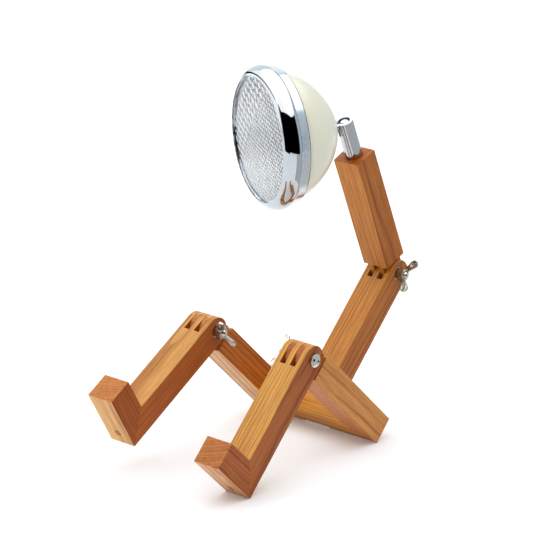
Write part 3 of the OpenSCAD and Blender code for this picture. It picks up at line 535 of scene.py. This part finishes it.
# Width and height of a cell, in mm, and heights of the pressed forms as shares of the cells' depth. The
# fine net's painted highlights lie in somewhat larger cells than it has, so that they still show from a step away.
tall_cell, fine_cell, shining_cell, flute_pitch = (13.0, 5.0), (6.0, 2.6), (7.6, 3.2), 2.0
tall_share, fine_share, flute_share = 2.4, 0.5, 0.5
# Where each form ends and the next one starts, across the glass from its middle, and at its edge.
flutes_end, tall_start, tall_shine_start, tall_end, fine_start = -37, -35, -34, -16, -6
cells_r, edge_fade = 40.4, 1.2
# The painted highlights and shade are drawn on the front alone, and set in between these depths inside the
# glass: on both of its faces, the two nets would cross and blur each other.
shine_from, shine_full = 61.0, 61.5


def net(across, along, cell):
    """Height of a net of pillows that stand on their corners."""
    a, b = pi * across / cell[0], pi * along / cell[1]
    return abs(cos(a + b) * cos(a - b)) ** pillow_round


def eased_step(value, low, high):
    """Rises smoothly from 0 to 1 between two values."""
    t = min(max((value - low) / (high - low), 0), 1)
    return t * t * (3 - 2 * t)


def press_cells(glass):
    """Moves the points of the glass's back to where the press tool left them."""
    for vertex in glass.data.vertices:
        spot = (vertex.co - ball_at) / mm
        if abs(spot.dot(head_way) - glass_back) > 0.01:
            continue
        x, y = spot.dot(head_side), spot.dot(head_rise)
        across = x * cos(cell_lean) + y * sin(cell_lean)
        along = y * cos(cell_lean) - x * sin(cell_lean)
        share = eased_step(across, tall_end, fine_start)
        tall, fine = tall_share * net(across, along, tall_cell), fine_share * net(across, along, fine_cell)
        cells = tall * (1 - share) + fine * share
        flutes = flute_share * abs(cos(pi * across / flute_pitch))
        share = eased_step(across, flutes_end, tall_start)
        height = cell_depth * (flutes * (1 - share) + cells * share)
        height *= eased_step(cells_r - sqrt(x * x + y * y), 0, edge_fade)
        vertex.co -= head_way * height * mm


clear_glass, tree, shader, place = new_finish("clear_glass")
shader.inputs["Transmission Weight"].default_value = 1.0
shader.inputs["IOR"].default_value = 1.5
shader.inputs["Roughness"].default_value = 0.08
in_head = in_own_axes(tree, place, ball_at, (head_side, head_rise, head_way))
leant = add(tree, "VectorRotate", {"Vector": in_head, "Angle": -cell_lean}, rotation_type="Z_AXIS")
across, along, depth = add(tree, "SeparateXYZ", {0: leant.outputs[0]}).outputs


def cell_shine(cell):
    """Painted brightness of a net of cells that stand on their corners: 1 at the middle of each, 0 at its edge."""
    a = calc(tree, "MULTIPLY", across, pi / (cell[0] * mm))
    b = calc(tree, "MULTIPLY", along, pi / (cell[1] * mm))
    first = calc(tree, "COSINE", calc(tree, "ADD", a, b))
    second = calc(tree, "COSINE", calc(tree, "SUBTRACT", a, b))
    return calc(tree, "ABSOLUTE", calc(tree, "MULTIPLY", first, second))


tall = spread(tree, cell_shine(tall_cell), 0.3, 0.7)
fine = calc(tree, "MULTIPLY", spread(tree, cell_shine(shining_cell), 0.1, 0.8), 0.75)
flutes = calc(tree, "COSINE", calc(tree, "MULTIPLY", across, pi / (flute_pitch * mm)))
flutes = calc(tree, "MULTIPLY", calc(tree, "ABSOLUTE", flutes), 0.4)
share = spread(tree, across, tall_end * mm, fine_start * mm)
shine = add(tree, "Mix", {0: share, 2: tall, 3: fine}).outputs[0]
share = spread(tree, across, flutes_end * mm, tall_shine_start * mm)
shine = add(tree, "Mix", {0: share, 2: flutes, 3: shine}).outputs[0]
on_front = spread(tree, depth, shine_from * mm, shine_full * mm)
shine = calc(tree, "MULTIPLY", shine, on_front)
# The cells' edges darken the glass's tone: painted shade.
painted_gap_shade = calc(tree, "SUBTRACT", on_front, shine)
faint = noise(tree, place, 300, 2.0)
tone = blend_colours(tree, faint, (0.98, 0.99, 1.0, 1.0), (0.96, 0.975, 0.985, 1.0))
tone = blend_colours(tree, painted_gap_shade, tone, scaled(tree, tone, (0.84, 0.84, 0.83)))
tree.links.new(tone, shader.inputs["Base Color"])
# White diffuse in the cells' middles stands for their bright reflections: painted highlights.
painted_cell_highlight = add(tree, "BsdfDiffuse", {"Color": (0.95, 0.97, 1.0, 1.0)})
painted_highlight_share = spread(tree, shine, 0.0, 1.0, 0.03, 0.75)
mix = add(tree, "MixShader", {0: painted_highlight_share, 1: shader.outputs[0], 2: painted_cell_highlight.outputs[0]})
tree.links.new(mix.outputs[0], tree.nodes["Material Output"].inputs["Surface"])
press_cells(head_piece("pressed_glass", glass_outline, clear_glass, "lens", 360))
dress(band_finish, "lens_ring")

# Lamp head: reflector
# Spun aluminium, bright-dipped inside, with a flat base for the light. It stands behind the glass,
# which shows it as a soft brightness.
dress(metal_finish("bright_aluminium", (0.93, 0.94, 0.95, 1.0), 0.42, 0.5), "reflector")

# Lamp head: small parts
# The seal, gasket, cup and spacers are moulded, and so are the gland and its nut. Most of them sit
# inside the bowl with the light and its boards, and the gland shows low at the bowl's back.


def plain_finish(name, colour, rough, spots=600):
    """Moulded or coated material with a faint mottle."""
    finish, tree, shader, place = new_finish(name)
    mottle = noise(tree, place, spots, 2.0)
    darker = tuple(c * 0.86 for c in colour[:3]) + (1.0,)
    tone = blend_colours(tree, spread(tree, mottle, 0.3, 0.7), colour, darker)
    tree.links.new(tone, shader.inputs["Base Color"])
    tree.links.new(spread(tree, mottle, 0.3, 0.7, rough, rough + 0.1), shader.inputs["Roughness"])
    bump = add(tree, "Bump", {"Height": mottle, "Distance": 0.01 * mm, "Strength": 0.4})
    tree.links.new(bump.outputs[0], shader.inputs["Normal"])
    return finish


phosphor = plain_finish("amber_phosphor", hex_colour("F4A93A"), 0.5)
shader = phosphor.node_tree.nodes["Principled BSDF"]
shader.inputs["Emission Color"].default_value = hex_colour("FF8A2A")
shader.inputs["Emission Strength"].default_value = 0.8
dress(phosphor, "led_emitter")
dress(plain_finish("black_rubber", hex_colour("26262A"), 0.6), "shell_seal", "lens_gasket")
dress(plain_finish("white_nylon", hex_colour("E6E6E0"), 0.4), "ball_cup", "board_spacers")
dress(plain_finish("white_board", hex_colour("F2F2EE"), 0.35), "led_board")
dress(plain_finish("green_board", hex_colour("2F6B45"), 0.35), "dimmer_board")
dress(plain_finish("red_lead_cover", hex_colour("B4382C"), 0.45), "led_leads")
dress(plain_finish("black_moulding", hex_colour("1E1E22"), 0.45), "cord_gland", "gland_nut")
dress(metal_finish("cast_aluminium", hex_colour("9AA0A4"), 0.35, 0.5), "heat_sink")

# Studio
# A white floor and a very large soft light overhead, which is square to the camera. Black cloths and
# softly lit cards stand and lie round the lamp, and they show in its bright metal and glass only.
floor_size = 14
drop_selection()
bpy.ops.mesh.primitive_plane_add(size=floor_size, location=(0, 0, 0))
floor = bpy.context.object
floor.name = "studio_floor"
bpy.ops.object.transform_apply(location=True, rotation=True, scale=True)
paper, tree, shader, place = new_finish("white_paper")
tone = blend_colours(tree, noise(tree, place, 3, 2.0), (0.86, 0.86, 0.86, 1), (0.88, 0.88, 0.88, 1))
tree.links.new(tone, shader.inputs["Base Color"])
shader.inputs["Roughness"].default_value = 0.9
shader.inputs["Emission Color"].default_value = (0.9, 1.0, 1.05, 1.0)
shader.inputs["Emission Strength"].default_value = 0.1
floor.data.materials.append(paper)

world = bpy.data.worlds.new("studio air")
world.use_nodes = True
world.node_tree.nodes["Background"].inputs["Color"].default_value = (0.86, 0.94, 1.0, 1.0)
world.node_tree.nodes["Background"].inputs["Strength"].default_value = 0.35
bpy.context.scene.world = world


def hang(cloth, glow, colour):
    """Gives a cloth or card its glow and keeps it out of all but reflections."""
    finish, tree, shader, place = new_finish(cloth.name + "_cloth")
    darker = tuple(c * 0.95 for c in colour[:3]) + (1.0,)
    tone = blend_colours(tree, noise(tree, place, 30, 2.0), colour, darker)
    unlit = add(tree, "Emission", {"Color": tone, "Strength": glow})
    tree.links.new(unlit.outputs[0], tree.nodes["Material Output"].inputs["Surface"])
    tree.nodes.remove(shader)
    cloth.data.materials.append(finish)
    cloth.visible_camera = cloth.visible_diffuse = cloth.visible_shadow = False
    drop_selection()


def curtain(name, profile, first, last, glow, colour):
    """Spins a profile of radius and height, in metres, about the middle, between two bearings."""
    bearing = Vector((sin(radians(first)), -cos(radians(first)), 0))
    cloth = extruded_path(name, [bearing * radius + upwards * height for radius, height in profile])
    bpy.ops.mesh.spin(steps=36, angle=radians(first - last), center=(0, 0, 0), axis=upwards)
    bpy.ops.object.mode_set(mode="OBJECT")
    bpy.ops.object.transform_apply(location=True, rotation=True, scale=True)
    hang(cloth, glow, colour)


def slanting_bar(name, start, end, width, colour):
    """A long flat bar of unlit card between two points, in metres."""
    along = (end - start).normalized()
    facing_way = along.cross(upwards).normalized()
    turn = Matrix((along, facing_way.cross(along), facing_way)).transposed().to_euler()
    bpy.ops.mesh.primitive_plane_add(size=1, location=(start + end) / 2, rotation=turn)
    bar = bpy.context.object
    bar.name = name
    bar.scale = ((end - start).length, width, 1)
    bpy.ops.object.transform_apply(location=True, rotation=True, scale=True)
    hang(bar, 0.0, colour)


black, white, off_white = (0.006, 0.006, 0.007, 1.0), (1.0, 1.0, 1.0, 1.0), (0.98, 1.0, 1.0, 1.0)
dim_blue, pale_blue = (0.8, 0.92, 1.0, 1.0), (0.9, 0.98, 1.0, 1.0)
room_r, flag_r, front_r, lamp_r = 3.4, 0.95, 0.78, 0.15
black_lies, pale_lies, curtain_top, flag_top, side_top = 0.002, 0.003, 4.2, 1.12, 3.6
card_profile = [(room_r, 0.05), (room_r, 3.0)]
bar_start, bar_end, bar_width = Vector((-1.77, -1.77, 1.31)), Vector((-2.17, 1.25, 0.13)), 0.17
to_curtain_top = [(room_r, black_lies), (room_r, curtain_top)]
curtain("front_curtain", [(front_r, black_lies)] + to_curtain_top, -30, 15, 0.0, black)
curtain("right_curtain", [(flag_r, black_lies)] + to_curtain_top, 15, 104, 0.0, black)
curtain("flag", [(flag_r, black_lies), (flag_r, flag_top)], 22, 104, 0.0, black)
slanting_bar("left_bar", bar_start, bar_end, bar_width, black)
curtain("left_card", card_profile, -104, -34, 1.7, white)
curtain("far_card", card_profile, -150, -104, 1.25, pale_blue)
curtain("near_floor_card", [(lamp_r, pale_lies), (flag_r, pale_lies)], 66, 170, 0.68, off_white)
side_profile = [(flag_r, pale_lies), (room_r, pale_lies), (room_r, side_top)]
curtain("side_card", side_profile, 104, 210, 0.78, dim_blue)

camera_turn = radians(40.553)
light_at, light_size, light_power = (-0.54, -0.07, 1.6), (3.9, 3.4), 75
softbox = bpy.data.lights.new("overhead_light", "AREA")
softbox.shape = "RECTANGLE"
softbox.size, softbox.size_y = light_size
softbox.energy = light_power
overhead = bpy.data.objects.new("overhead_light", softbox)
overhead.location = light_at
overhead.rotation_euler = (0, 0, camera_turn)
overhead.visible_camera = False
bpy.context.scene.collection.objects.link(overhead)

# Camera
# It stands at the front right, a little above the lamp, with a long lens. It leans a third of a degree,
# as the photograph does.
camera_height, camera_lean, camera_reach = radians(18.618), radians(0.356), 2034.1 * mm
look_at = Vector((2.16, 5.64, 114.41)) * mm
level = cos(camera_height)
back = Vector((sin(camera_turn) * level, -cos(camera_turn) * level, sin(camera_height)))
right = Vector((cos(camera_turn), sin(camera_turn), 0))
up = back.cross(right)
right_leant = right * cos(camera_lean) + up * sin(camera_lean)
up_leant = up * cos(camera_lean) - right * sin(camera_lean)
camera_data = bpy.data.cameras.new("camera")
camera_data.sensor_width = 36
camera_data.lens = 198.6
camera_data.clip_end = 50
camera = bpy.data.objects.new("camera", camera_data)
camera_place = Matrix((right_leant, up_leant, back)).transposed().to_4x4()
camera_place.translation = look_at + back * camera_reach
camera.matrix_world = camera_place
bpy.context.scene.collection.objects.link(camera)
bpy.context.scene.camera = camera
bpy.context.scene.view_settings.view_transform = "Standard"
